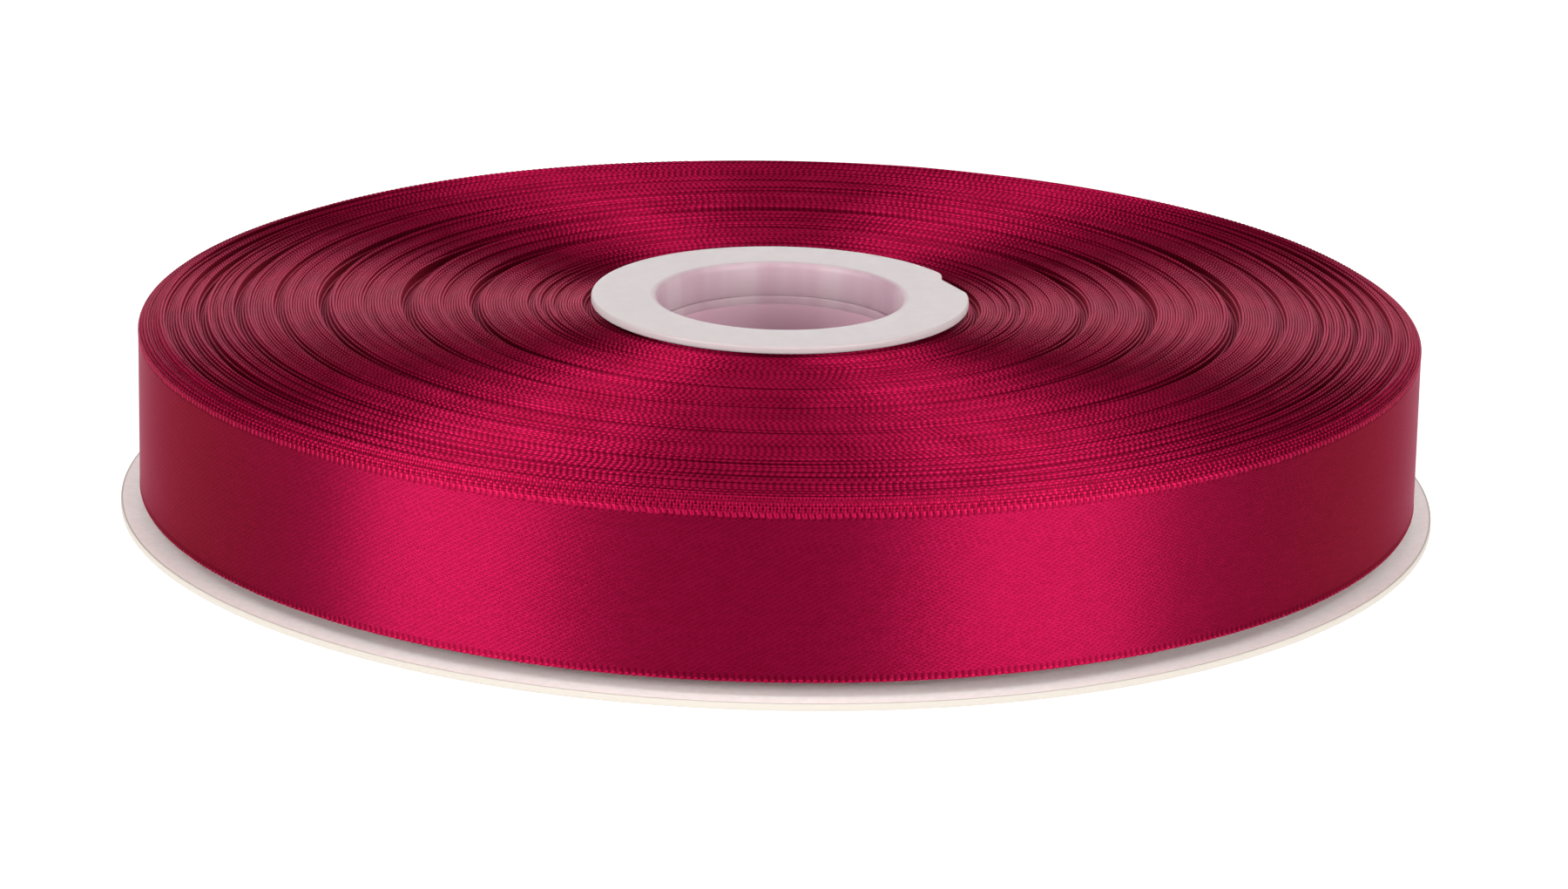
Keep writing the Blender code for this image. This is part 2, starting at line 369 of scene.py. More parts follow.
# %% [markdown]
# ## The winding rule
#
# A wound strip is a spiral that grows by one ribbon thickness each turn. Its height isn't
# constant: the turns climb to a low crest and fall again to the rim, and on a machine-wound
# roll they also slip up and down in groups, with grooves between the groups. All of it is a
# rule of the radius and the angle, so Geometry Nodes can make the whole strip: a straight line
# with the right number of points gets every point moved to its place on the spiral.
#
# A curve drawn through the grooves holds the relief. Near the rim the grooves stand where they
# do on the roll that is modelled. Further in they are finer, and a seeded generator places them.

# %% Draw the relief across the roll
RIM_GROOVES = [
    (0.976, 0.55), (0.951, 0.70), (0.925, 0.60), (0.900, 0.85), (0.881, 0.50),
    (0.865, 0.40), (0.848, 0.80), (0.822, 0.35), (0.786, 0.65), (0.760, 0.30),
    (0.715, 1.00), (0.690, 0.30), (0.647, 0.40), (0.620, 0.25), (0.588, 1.00),
    (0.553, 0.30), (0.525, 0.45), (0.480, 0.95),
]
INNER_GROOVE_SPACING = (0.018, 0.040)
INNER_GROOVE_DEPTH = (0.20, 0.75)
RELIEF_DEPTH = 1.15 * MM
RIM_RISE = 0.80 * MM
RIM_RISE_FROM = 0.981
RIM_RISE_TO = 0.996
GROUP_CREST = 0.22
CREST_VARIES = 0.15

placing = random.Random(7)


def all_grooves():
    """(place as a share of the roll's radius, depth from 0 to 1), from the rim inwards."""
    grooves = list(RIM_GROOVES)
    place = grooves[-1][0] - placing.uniform(*INNER_GROOVE_SPACING)
    while place > ROLL_HOLE / ROLL_RADIUS + INNER_GROOVE_SPACING[0]:
        grooves.append((place, placing.uniform(*INNER_GROOVE_DEPTH)))
        place -= placing.uniform(*INNER_GROOVE_SPACING)
    return grooves


def relief_knots():
    """Points of the relief curve: 1 on the crests, lower in each groove."""
    places = sorted(all_grooves())
    knots = [(0.0, 1.0)]
    for (place, depth), (following, _) in zip(places, places[1:] + [(1.0, 0.0)]):
        knots.append((place, 1.0 - depth))
        crest = place + (following - place) * GROUP_CREST
        knots.append((crest, 1.0 - placing.uniform(0.0, CREST_VARIES)))
    return knots + [(1.0, 1.0)]


RELIEF_KNOTS = relief_knots()
print(f"{len(RELIEF_KNOTS) // 2 - 1} grooves between the groups of turns")


def draw_relief(curve):
    """Puts the knots into a float curve; every tree gets the same ones."""
    for point, (x, y) in zip(curve.points, RELIEF_KNOTS[:2]):
        point.location = (x, y)
    for x, y in RELIEF_KNOTS[2:]:
        curve.points.new(x, y)
    for point in curve.points:
        point.handle_type = "AUTO_CLAMPED"


# %% [markdown]
# ## The path of the ribbon as nodes
#
# The function below adds the rule to any tree and returns the path as a curve. Two trees use
# it: one sweeps the ribbon along the path, and the other sets selvage loops on it, so the loops
# can't miss the ribbon's edge.

# %% The inputs of the path
def size_input(name, value=0.0):
    return (name, "NodeSocketFloat", value)


PATH_INPUTS = [
    size_input("First turn"), size_input("Turns", 1.0), ("Steps per turn", "NodeSocketInt", 240),
    size_input("Hole radius"), size_input("Roll radius"), size_input("Turn pitch"),
    size_input("Middle height"), size_input("Crest height"), size_input("Inner rise"),
    size_input("Crest radius"), size_input("Relief depth"), size_input("Rim rise"),
    size_input("End angle"), size_input("Flange radius"), size_input("Ceiling"), size_input("Seed"),
]


def new_tree(name, inputs):
    """A Geometry Nodes tree with named inputs; returns it and the group's input sockets by name."""
    tree = bpy.data.node_groups.new(name, "GeometryNodeTree")
    for label, kind, value in inputs:
        socket = tree.interface.new_socket(label, in_out="INPUT", socket_type=kind)
        if value is not None:
            socket.default_value = value
    tree.interface.new_socket("Geometry", in_out="OUTPUT", socket_type="NodeSocketGeometry")
    return tree, add(tree, "NodeGroupInput").outputs


# %% [markdown]
# Three things set the height of a turn. The crown is the same all round. The grooves come from
# the curve above, but each one drifts and fades as it goes round the roll, as no groove on a real
# roll is a true circle. Last, every turn slips a little by itself, because nothing holds it. The
# noise reads a point that goes round a circle, so that it joins up after a turn.

# %% The height of a turn
def crown_height(tree, size, radius):
    """The low crest: a quarter of a sine on either side of the crest radius."""
    inside = remap(tree, radius, size["Hole radius"], size["Crest radius"], 0.0, math.pi / 2)
    outside = remap(tree, radius, size["Crest radius"], size["Roll radius"], math.pi / 2, 0.0)
    climb = calc(tree, "SUBTRACT", size["Crest height"], size["Inner rise"])
    inner_side = calc(tree, "MULTIPLY_ADD", calc(tree, "SINE", inside), climb, size["Inner rise"])
    outer_side = calc(tree, "MULTIPLY", calc(tree, "SINE", outside), size["Crest height"])
    return calc(tree, "MINIMUM", inner_side, outer_side)


def wander(tree, radius, angle, seed, reach, detail_along_radius):
    """Smooth noise round the roll, from -1 to 1; its ends meet because it reads a circle."""
    east = calc(tree, "MULTIPLY", calc(tree, "COSINE", angle), reach)
    north = calc(tree, "MULTIPLY", calc(tree, "SINE", angle), reach)
    across = calc(tree, "MULTIPLY", radius, detail_along_radius)
    place = add(tree, "ShaderNodeCombineXYZ", {"X": east, "Y": north, "Z": across})
    noise = add(tree, "ShaderNodeTexNoise", {"Scale": 1.0, "Detail": 1.0}, noise_dimensions="4D")
    plug(tree, noise.inputs["Vector"], place.outputs[0])
    plug(tree, noise.inputs["W"], seed)
    value = [s for s in noise.outputs if s.name in ("Fac", "Factor")][0]
    return calc(tree, "MULTIPLY_ADD", value, 2.0, -1.0)


GROOVE_WANDER = 0.013
GROOVE_FADE = 0.55
SLIP = 0.13 * MM
SWELL = 0.22 * MM


def group_relief(tree, size, radius, angle):
    """The grooves between groups of turns, which drift a little and fade in and out."""
    share = calc(tree, "DIVIDE", radius, size["Roll radius"])
    drift = wander(tree, radius, angle, size["Seed"], 0.60, 45.0)
    place = calc(tree, "MULTIPLY_ADD", drift, GROOVE_WANDER, share)
    relief = add(tree, "ShaderNodeFloatCurve", {"Value": place})
    draw_relief(relief.mapping.curves[0])
    relief.mapping.update()
    lowering = calc(tree, "SUBTRACT", relief.outputs[0], 1.0)
    fade = wander(tree, radius, angle, calc(tree, "ADD", size["Seed"], 9.0), 0.8, 260.0)
    strength = calc(tree, "MULTIPLY_ADD", fade, GROOVE_FADE, 1.0)
    return calc(tree, "MULTIPLY", calc(tree, "MULTIPLY", lowering, strength), size["Relief depth"])


# %% [markdown]
# The path itself starts as a straight line with one point for each step. The number of a point
# gives its turn, the turn gives its angle and radius, and those two give its height. Under the
# hub's flange the height is held down, so that the ribbon never comes through the plastic.

# %% The winding rule as nodes
def ribbon_path(tree, size):
    """Adds the winding rule and returns the path of the ribbon's middle line as a curve."""
    points = calc(tree, "ADD", calc(tree, "MULTIPLY", size["Turns"], size["Steps per turn"]), 1.5)
    line = add(tree, "GeometryNodeCurvePrimitiveLine")
    dots = add(tree, "GeometryNodeResampleCurve", {"Curve": line.outputs["Curve"]})
    plug(tree, dots.inputs["Count"], calc(tree, "FLOOR", points))
    index = add(tree, "GeometryNodeInputIndex").outputs[0]
    turn = calc(tree, "DIVIDE", index, size["Steps per turn"])
    turn = calc(tree, "ADD", turn, size["First turn"])
    angle = calc(tree, "MULTIPLY_ADD", turn, 2.0 * math.pi, size["End angle"])
    radius = calc(tree, "MULTIPLY_ADD", turn, size["Turn pitch"], size["Hole radius"])
    slip = wander(tree, radius, angle, calc(tree, "ADD", size["Seed"], 5.0), 1.2, 2600.0)
    share = calc(tree, "DIVIDE", radius, size["Roll radius"])
    loose = remap(tree, share, RIM_RISE_FROM, RIM_RISE_TO, 1.0, 0.0)
    height = calc(tree, "ADD", size["Middle height"], crown_height(tree, size, radius))
    height = calc(tree, "ADD", height, group_relief(tree, size, radius, angle))
    height = calc(tree, "MULTIPLY_ADD", calc(tree, "MULTIPLY", slip, loose), SLIP, height)
    swell = wander(tree, radius, angle, calc(tree, "ADD", size["Seed"], 2.0), 0.7, 170.0)
    height = calc(tree, "MULTIPLY_ADD", calc(tree, "MULTIPLY", swell, loose), SWELL, height)
    height = calc(tree, "MULTIPLY_ADD", loose, size["Rim rise"], height)
    under = calc(tree, "LESS_THAN", radius, size["Flange radius"])
    headroom = calc(tree, "SUBTRACT", 1.0, size["Ceiling"])
    ceiling = calc(tree, "SUBTRACT", 1.0, calc(tree, "MULTIPLY", under, headroom))
    height = calc(tree, "MINIMUM", height, ceiling)
    east = calc(tree, "MULTIPLY", calc(tree, "COSINE", angle), radius)
    north = calc(tree, "MULTIPLY", calc(tree, "SINE", angle), radius)
    place = add(tree, "ShaderNodeCombineXYZ", {"X": east, "Y": north, "Z": height})
    moved = add(tree, "GeometryNodeSetPosition", {"Position": place.outputs[0]})
    plug(tree, moved.inputs["Geometry"], dots.outputs["Curve"])
    upright = add(tree, "GeometryNodeSetCurveNormal", {"Curve": moved.outputs["Geometry"]})
    upright.mode = "Z_UP"
    return upright.outputs["Curve"]


# %% [markdown]
# ## Sweeping the ribbon
#
# The strip is swept from a small closed outline: two flat faces and a rounded bead at each edge,
# where the selvage is. Inner turns show only that bead, so six points are enough for them. The
# outermost turns show their whole wall, so their outline has more points close to the beads,
# which keeps the shading of the wall flat.

# %% The ribbon's outline and the sweep
AIR_BETWEEN_TURNS = 0.016 * MM
RIBBON_THICKNESS = TURN_PITCH - AIR_BETWEEN_TURNS
BEAD_DEPTH = 0.10 * MM


def plain_outline():
    half, side = RIBBON_THICKNESS / 2, RIBBON_WIDTH / 2
    shoulder = side - 1.1 * half
    right = [(half, -shoulder), (half, shoulder), (0.0, side)]
    return right + [(-x, -y) for x, y in right]


def fine_outline():
    half, side = RIBBON_THICKNESS / 2, RIBBON_WIDTH / 2
    shoulder = side - half
    right = [(half, -shoulder + 2 * half), (half, shoulder - 2 * half)]
    for step in range(5):
        angle = math.radians(90.0 * step / 4)
        right.append((half * math.cos(angle), shoulder + half * math.sin(angle)))
    left = [(-x, y) for x, y in reversed(right[:-1])]
    top = right[1:] + left[:-1]
    return top + [(-x, -y) for x, y in top]


def outline_curve(name, points):
    data = bpy.data.curves.new(name, "CURVE")
    data.dimensions = "2D"
    spline = data.splines.new("POLY")
    spline.points.add(len(points) - 1)
    for point, (x, y) in zip(spline.points, points):
        point.co = (x, y, 0.0, 1.0)
    spline.use_cyclic_u = True
    return new_object(name, data)


def store(tree, geometry, name, value):
    kept = add(tree, "GeometryNodeStoreNamedAttribute", {"Name": name}, data_type="FLOAT")
    plug(tree, kept.inputs["Geometry"], geometry)
    plug(tree, kept.inputs["Value"], value)
    return kept.outputs["Geometry"]


def sweep_tree():
    tree, size = new_tree("wound ribbon", PATH_INPUTS + [
        ("Outline", "NodeSocketObject", None), size_input("Ribbon width"),
        size_input("Length before"), ("Material", "NodeSocketMaterial", None),
        ("Edge material", "NodeSocketMaterial", None)])
    path = ribbon_path(tree, size)
    length = add(tree, "GeometryNodeSplineParameter").outputs["Length"]
    path = store(tree, path, "along", calc(tree, "ADD", length, size["Length before"]))
    outline = add(tree, "GeometryNodeObjectInfo", {"Object": size["Outline"]}).outputs["Geometry"]
    place = add(tree, "GeometryNodeInputPosition").outputs[0]
    side = add(tree, "ShaderNodeSeparateXYZ", {"Vector": place}).outputs["Y"]
    across = calc(tree, "MULTIPLY_ADD", size["Ribbon width"], 0.5, side)
    outline = store(tree, outline, "across", across)
    sweep = add(tree, "GeometryNodeCurveToMesh", {"Curve": path, "Profile Curve": outline})
    sweep.inputs["Fill Caps"].default_value = True
    smooth = add(tree, "GeometryNodeSetShadeSmooth", {"Geometry": sweep.outputs["Mesh"]})
    real = add(tree, "GeometryNodeRealizeInstances", {"Geometry": smooth.outputs["Geometry"]})
    dressed = add(tree, "GeometryNodeSetMaterial", {"Geometry": real.outputs["Geometry"]})
    plug(tree, dressed.inputs["Material"], size["Material"])
    stored = add(tree, "GeometryNodeInputNamedAttribute", {"Name": "across"}, data_type="FLOAT")
    stored = stored.outputs["Attribute"]
    from_middle = calc(tree, "MULTIPLY_ADD", size["Ribbon width"], -0.5, stored)
    limit = calc(tree, "MULTIPLY_ADD", size["Ribbon width"], 0.5, -BEAD_DEPTH)
    on_edge = calc(tree, "GREATER_THAN", calc(tree, "ABSOLUTE", from_middle), limit)
    edged = add(tree, "GeometryNodeSetMaterial", {"Geometry": dressed.outputs["Geometry"]})
    plug(tree, edged.inputs["Selection"], on_edge)
    plug(tree, edged.inputs["Material"], size["Edge material"])
    tree.links.new(edged.outputs["Geometry"], add(tree, "NodeGroupOutput").inputs["Geometry"])
    return tree


def grow(name, tree, values):
    """Runs a tree with these named inputs and returns its result as a plain mesh object."""
    seedling = new_object(name + "_seed", bpy.data.meshes.new(name + "_seed"))
    modifier = seedling.modifiers.new("grow", "NODES")
    modifier.node_group = tree
    for item in tree.interface.items_tree:
        if item.item_type == "SOCKET" and item.in_out == "INPUT" and item.name in values:
            modifier[item.identifier] = values[item.name]
    graph = bpy.context.evaluated_depsgraph_get()
    mesh = bpy.data.meshes.new_from_object(seedling.evaluated_get(graph), depsgraph=graph)
    bpy.data.objects.remove(seedling)
    mesh.name = name
    return new_object(name, mesh)


# %% [markdown]
# ## Winding the roll
#
# 45.72 m is one strip, but a mesh that long is clumsy, so it is wound in lengths that follow on
# from each other. The joints are hidden: each length ends where the next begins, at the same
# angle and height. The last turns are wound with more steps, because their edge and their wall
# are the part of the roll that is seen from close by.

# %% Wind the ribbon
INNER_RISE = 0.80 * MM
CREST_RADIUS = ROLL_HOLE + 0.6 * (ROLL_RADIUS - ROLL_HOLE)
FLANGE_MARGIN = 0.8 * MM
UNDER_FLANGE_GAP = 0.12 * MM
PATH_SIZES = {
    "Hole radius": ROLL_HOLE, "Roll radius": ROLL_RADIUS, "Turn pitch": TURN_PITCH,
    "Middle height": ROLL_LOW + RIBBON_WIDTH / 2, "Crest height": CREST,
    "Inner rise": INNER_RISE, "Crest radius": CREST_RADIUS,
    "Relief depth": RELIEF_DEPTH, "Rim rise": RIM_RISE, "Seed": 3.0,
    "Flange radius": FLANGE_RADIUS + FLANGE_MARGIN,
    "Ceiling": UPPER_FLANGE_BOTTOM - UNDER_FLANGE_GAP - RIBBON_WIDTH / 2,
}
END_ANGLE = math.radians(100.0)
PATH_SIZES["End angle"] = END_ANGLE - 2.0 * math.pi * (TURNS % 1.0)
LENGTHS = [(0, 60, 200), (60, 110, 240), (110, 150, 280), (150, 176, 360)]  # turns and steps
OUTER_START = 176


def length_before(turn):
    """Ribbon used up to this turn: the sum of the circles inside it."""
    middle = ROLL_HOLE + TURN_PITCH * turn / 2
    return 2.0 * math.pi * middle * turn


def path_values(first, last, steps):
    """The path's inputs for the turns from first to last."""
    stretch = {"First turn": float(first), "Turns": last - first, "Steps per turn": steps}
    return {**PATH_SIZES, **stretch}


def wind(name, first, last, steps, outline):
    values = path_values(first, last, steps)
    values.update({"Outline": outline, "Ribbon width": RIBBON_WIDTH, "Material": SATIN})
    values.update({"Edge material": EDGE_THREAD, "Length before": length_before(first)})
    piece = grow(name, WOUND, values)
    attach(piece, "hub_and_roll")
    return piece


WOUND = sweep_tree()
inner_outline = outline_curve("inner_outline", plain_outline())
wall_outline = outline_curve("wall_outline", fine_outline())
for number, (first, last, steps) in enumerate(LENGTHS, 1):
    wind(f"wound_ribbon_{number}", first, last, steps, inner_outline)
wind("outer_turns", OUTER_START, TURNS - 1.0, 400, inner_outline)
wind("outer_wrap", TURNS - 1.0, TURNS, 720, wall_outline)
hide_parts("ribbon_roll")
for outline in (inner_outline, wall_outline):
    bpy.data.objects.remove(outline)

# %% [markdown]
# ## Selvage loops on the edges that are seen
#
# At each edge the weft thread turns round the last warp threads and goes back, 40 times in an
# inch. Each turn of the thread stands out as a small rib that wraps over the edge. Bump is
# enough for the inner turns, but on the outermost turns the ribs make the outline of the roll,
# so they are real shapes: one small rib, repeated along the same path.

# %% Make one rib
RIB_SECTION = 6
NARROWEST = 0.35


def closed_shape(name, vertices, faces):
    """A smooth object from points and faces, with its faces turned outwards."""
    mesh = bpy.data.meshes.new(name)
    mesh.from_pydata(vertices, [], faces)
    work = bmesh.new()
    work.from_mesh(mesh)
    bmesh.ops.recalc_face_normals(work, faces=work.faces)
    work.to_mesh(mesh)
    work.free()
    mesh.shade_smooth()
    return new_object(name, mesh)


def rib_mesh(name, height, width, proud, lean):
    """A small padded bar on the outer face that tapers downwards and bends over the edge."""
    half = RIBBON_THICKNESS / 2
    line = [(half * 0.6, -height, 0.0), (half, -height * 0.86, 0.75), (half, -height * 0.45, 1.0)]
    line += [(half * 0.95, -half * 1.2, 1.0), (half * 0.45, -half * 0.05, 0.95)]
    line += [(-half * 0.9, -half * 0.7, 0.5)]
    vertices, faces = [], []
    for outward, up, fullness in line:
        for step in range(RIB_SECTION):
            turn = 2 * math.pi * step / RIB_SECTION
            side = math.cos(turn) * width / 2 * max(fullness, NARROWEST)
            bulge = math.sin(turn) * proud * max(fullness, NARROWEST)
            tip_up = bulge * (0.7 if up > -half * 1.3 else 0.1)
            vertices.append((outward + bulge, side - up * lean, up + tip_up))
    for row in range(len(line) - 1):
        for step in range(RIB_SECTION):
            following = (step + 1) % RIB_SECTION
            a, b = row * RIB_SECTION + step, row * RIB_SECTION + following
            faces.append((a, b, b + RIB_SECTION, a + RIB_SECTION))
    faces.append(tuple(reversed(range(RIB_SECTION))))
    last = (len(line) - 1) * RIB_SECTION
    faces.append(tuple(range(last, last + RIB_SECTION)))
    return closed_shape(name, vertices, faces)


# %% [markdown]
# The ribs are instances: one mesh is placed at every loop, turned to face outwards, and made a
# little larger or smaller at random. They are only made real at the end, because an export
# leaves instances out.

# %% Set the ribs along the path
RIB_SIZES = (0.85, 1.12)


def rib_tree():
    tree, size = new_tree("selvage ribs", PATH_INPUTS + [
        ("Rib", "NodeSocketObject", None), size_input("Loop pitch"), size_input("Edge height"),
        size_input("Edge side", 1.0), ("Material", "NodeSocketMaterial", None)])
    path = ribbon_path(tree, size)
    spread = add(tree, "GeometryNodeCurveToPoints", {"Curve": path}, mode="LENGTH")
    plug(tree, spread.inputs["Length"], size["Loop pitch"])
    place = add(tree, "GeometryNodeInputPosition").outputs[0]
    split = add(tree, "ShaderNodeSeparateXYZ", {"Vector": place}).outputs
    angle = calc(tree, "ARCTAN2", split["Y"], split["X"])
    lift = add(tree, "ShaderNodeCombineXYZ", {"Z": size["Edge height"]})
    moved = add(tree, "GeometryNodeSetPosition", {"Geometry": spread.outputs["Points"]})
    plug(tree, moved.inputs["Offset"], lift.outputs[0])
    turn = add(tree, "ShaderNodeCombineXYZ", {"Z": angle})
    rib = add(tree, "GeometryNodeObjectInfo", {"Object": size["Rib"]}).outputs["Geometry"]
    size_drift = add(tree, "FunctionNodeRandomValue", {"Seed": 4}, data_type="FLOAT")
    size_drift.inputs[2].default_value, size_drift.inputs[3].default_value = RIB_SIZES
    flip = calc(tree, "MULTIPLY", size["Edge side"], size_drift.outputs[1])
    scale = add(tree, "ShaderNodeCombineXYZ", {"X": 1.0, "Y": size_drift.outputs[1], "Z": flip})
    ribs = add(tree, "GeometryNodeInstanceOnPoints", {"Points": moved.outputs["Geometry"]})
    plug(tree, ribs.inputs["Instance"], rib)
    plug(tree, ribs.inputs["Rotation"], turn.outputs[0])
    plug(tree, ribs.inputs["Scale"], scale.outputs[0])
    real = add(tree, "GeometryNodeRealizeInstances", {"Geometry": ribs.outputs["Instances"]})
    dressed = add(tree, "GeometryNodeSetMaterial", {"Geometry": real.outputs["Geometry"]})
    plug(tree, dressed.inputs["Material"], size["Material"])
    tree.links.new(dressed.outputs["Geometry"], add(tree, "NodeGroupOutput").inputs["Geometry"])
    return tree


RIBS = rib_tree()
wall_rib = rib_mesh("wall_rib", 0.58 * MM, 0.44 * MM, 0.034 * MM, 0.18)
top_rib = rib_mesh("top_rib", 0.52 * MM, 0.46 * MM, 0.034 * MM, 0.1)
low_rib = rib_mesh("low_rib", 0.34 * MM, 0.36 * MM, 0.022 * MM, 0.1)


def set_ribs(name, rib, first, last, side, steps):
    values = path_values(first, last, steps)
    values.update({"Rib": rib, "Loop pitch": LOOP_PITCH, "Material": SATIN_RIB})
    values.update({"Edge height": side * RIBBON_WIDTH / 2, "Edge side": float(side)})
    piece = grow(name, RIBS, values)
    if side < 0:
        piece.data.flip_normals()
    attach(piece, "hub_and_roll")
    print(f"{name}: {len(piece.data.polygons)} faces")
    return piece


RIBBED_TURNS = 4  # on each of the two pieces below
stepped_from = TURNS - 1.0 - RIBBED_TURNS
set_ribs("top_selvage", wall_rib, TURNS - 1.0, TURNS, 1, 720)
set_ribs("bottom_selvage", low_rib, TURNS - 1.0, TURNS, -1, 720)
set_ribs("stepped_selvages", top_rib, stepped_from, TURNS - 1.0, 1, 400)
set_ribs("shoulder_selvages", top_rib, stepped_from - RIBBED_TURNS, stepped_from, 1, 400)
for rib in (wall_rib, top_rib, low_rib):
    bpy.data.objects.remove(rib)

# %% [markdown]
# ## The hub
#
# The hub is moulded in two halves from a milky, slightly see-through plastic. The lower half has
# a neck, and the upper half is pushed over it, which leaves a ledge part of the way down the
# bore. Each half is a turned shape, so one outline swept round the axis makes it. Its flange
# isn't quite round: the rim runs straight for a moment and steps back, as a catch or a mark. So
# the sweep asks a rule for the rim's radius at every angle, and no cutting is needed.

# %% Sweep an outline with a notched rim
HUB_SEGMENTS = 240
DISC_SEGMENTS = 240
SHARP_EDGE = math.radians(40)
BARREL_RADIUS = BORE + 1.8 * MM
NECK_RADIUS = BORE + 1.0 * MM
LIP = 0.6 * MM
RIM = 0.25 * MM
EASE = 0.12 * MM
NOTCH = (math.radians(7.1), math.radians(23.6), math.radians(31.2), 1.0 * MM)


def rim_radius(angle):
    """The flange's radius at an angle: round, then a straight flat, then a soft step back."""
    start, low, end, depth = NOTCH
    angle %= 2 * math.pi
    if start < angle < low:
        first = Vector((math.cos(start), math.sin(start))) * FLANGE_RADIUS
        along = Vector((math.cos(low), math.sin(low))) * (FLANGE_RADIUS - depth) - first
        normal = Vector((along.y, -along.x))
        return first.dot(normal) / Vector((math.cos(angle), math.sin(angle))).dot(normal)
    if low <= angle < end:
        rise = (1 - math.cos(math.pi * (angle - low) / (end - low))) / 2
        return FLANGE_RADIUS - depth * (1 - rise)
    return FLANGE_RADIUS


def corner(r, z, radius, start, end, steps=5):
    """Points of a rounded corner round the centre (r, z)."""
    angles = [math.radians(start + (end - start) * step / steps) for step in range(steps + 1)]
    return [(r + radius * math.cos(a), z + radius * math.sin(a)) for a in angles]


def swept_ring(name, outline, segments, material, radius_at=None, lift_at=None):
    """Sweeps a closed outline of (radius, height) round Z; it runs down its outer side."""
    radius_at = radius_at or (lambda r, angle: r)
    lift_at = lift_at or (lambda r, angle: 0.0)
    vertices, faces = [], []
    count = len(outline)
    for segment in range(segments):
        angle = 2 * math.pi * segment / segments
        for r, z in outline:
            reach = radius_at(r, angle)
            lifted = z + lift_at(r, angle)
            vertices.append((reach * math.cos(angle), reach * math.sin(angle), lifted))
        here, following = segment * count, (segment + 1) % segments * count
        for point in range(count):
            other = (point + 1) % count
            faces.append((here + other, following + other, following + point, here + point))
    piece = closed_shape(name, vertices, faces)
    piece.data.set_sharp_from_angle(angle=SHARP_EDGE)
    piece.data.materials.append(material)
    print(f"{name}: {len(faces)} faces")
    return piece


# %% [markdown]
# Milky plastic lets a little light in and scatters it, so it glows softly instead of shading like
# paint. Where the barrel's wall has ribbon behind it, the crimson that shows through is painted
# into the colour as a mauve glow, with soft upright bands like the turns behind it, and lighter and
# pinker lower in the bore. The colour below is mixed by the distance from the axis and the height,
# because only the wall inside the roll has ribbon behind it. The very rim of each flange is painted
# darker, as painted shade.

# %% The hub's material
PLASTIC_WHITE = (0.560, 0.495, 0.500, 1.0)
# painted shade on the rounded rims of the flanges
PLASTIC_RIM_SHADE = (0.42, 0.360, 0.365, 1.0)
# painted glow: the ribbon's crimson seen through the bore wall
PLASTIC_RIBBON_GLOW = (0.370, 0.240, 0.285, 1.0)
# painted glow, lighter and pinker, lower in the bore
PLASTIC_LOW_BORE_GLOW = (0.530, 0.320, 0.390, 1.0)
UPRIGHT_BANDS = (260.0, 260.0, 25.0)
RING_PITCH = 0.55 * MM  # the fine rings that the mould's turning leaves


def make_plastic():
    material, tree, shader = new_material("milky plastic")
    place = object_place(tree)
    reach, height = axis_distance(tree, place)
    # painted glow inside the bore, with soft upright bands and a pinker lower part
    ribbon_glow_mask = remap(tree, reach, COLLAR_BORE + 0.15 * MM, COLLAR_BORE + 0.75 * MM, 1.0, 0.0)
    # painted shade: the colour darkens at the very edge of each flange's rim
    rim = remap(tree, reach, FLANGE_RADIUS - 0.22 * MM, FLANGE_RADIUS - 0.10 * MM, 0.0, 1.0)
    depth = remap(tree, height, NECK_TOP - 0.9 * MM, NECK_TOP - 0.7 * MM, 1.0, 0.0)
    stretch = add(tree, "ShaderNodeVectorMath", {"Vector": place}, operation="MULTIPLY")
    stretch.inputs[1].default_value = UPRIGHT_BANDS
    tone = noise_at(tree, stretch.outputs["Vector"], 1.0, 2.0)
    banded = remap(tree, tone, 0.35, 0.65, 0.0, 1.0)
    ribbon_glow = blend_colour(tree, calc(tree, "MULTIPLY", banded, 0.30), PLASTIC_RIBBON_GLOW, PLASTIC_WHITE)
    ribbon_glow = blend_colour(tree, calc(tree, "MULTIPLY", depth, 0.75), ribbon_glow, PLASTIC_LOW_BORE_GLOW)
    white_with_rim_shade = blend_colour(tree, rim, PLASTIC_WHITE, PLASTIC_RIM_SHADE)
    plug(tree, shader.inputs["Base Color"], blend_colour(tree, ribbon_glow_mask, white_with_rim_shade, ribbon_glow))
    rings = calc(tree, "SINE", calc(tree, "MULTIPLY", height, 2 * math.pi / RING_PITCH))
    grain = noise_at(tree, place, 900.0, 3.0)
    plug(tree, shader.inputs["Roughness"], remap(tree, grain, 0.3, 0.7, 0.36, 0.48))
    relief = calc(tree, "MULTIPLY_ADD", rings, 0.15, grain)
    raise_surface(tree, shader, relief, 0.010 * MM)
    settle(shader, {"Subsurface Weight": 0.25, "Subsurface Radius": (1.0, 0.8, 0.8)})
    settle(shader, {"Subsurface Scale": 0.8 * MM, "IOR": 1.49, "Specular IOR Level": 0.25})
    return material


PLASTIC = make_plastic()

# %% [markdown]
# The rim of each flange is rounded and so is the mouth of the bore, as on every moulding: a
# sharp edge would tear the ribbon, and it would catch no light.

# %% Turn the two halves of the hub
GAP = 0.3 * MM
SEAT = 0.01 * MM
SEAT_EASE = 0.04 * MM
LEAD_IN = (0.8 * MM, 0.15 * MM)
RIM_RUN = 1.6 * MM


def notched(r, angle):
    """Moves only the points of the rim, outside the flat run of the flange."""
    inside = r < FLANGE_RADIUS - 1.5 * MM
    return r if inside else r + rim_radius(angle) - FLANGE_RADIUS


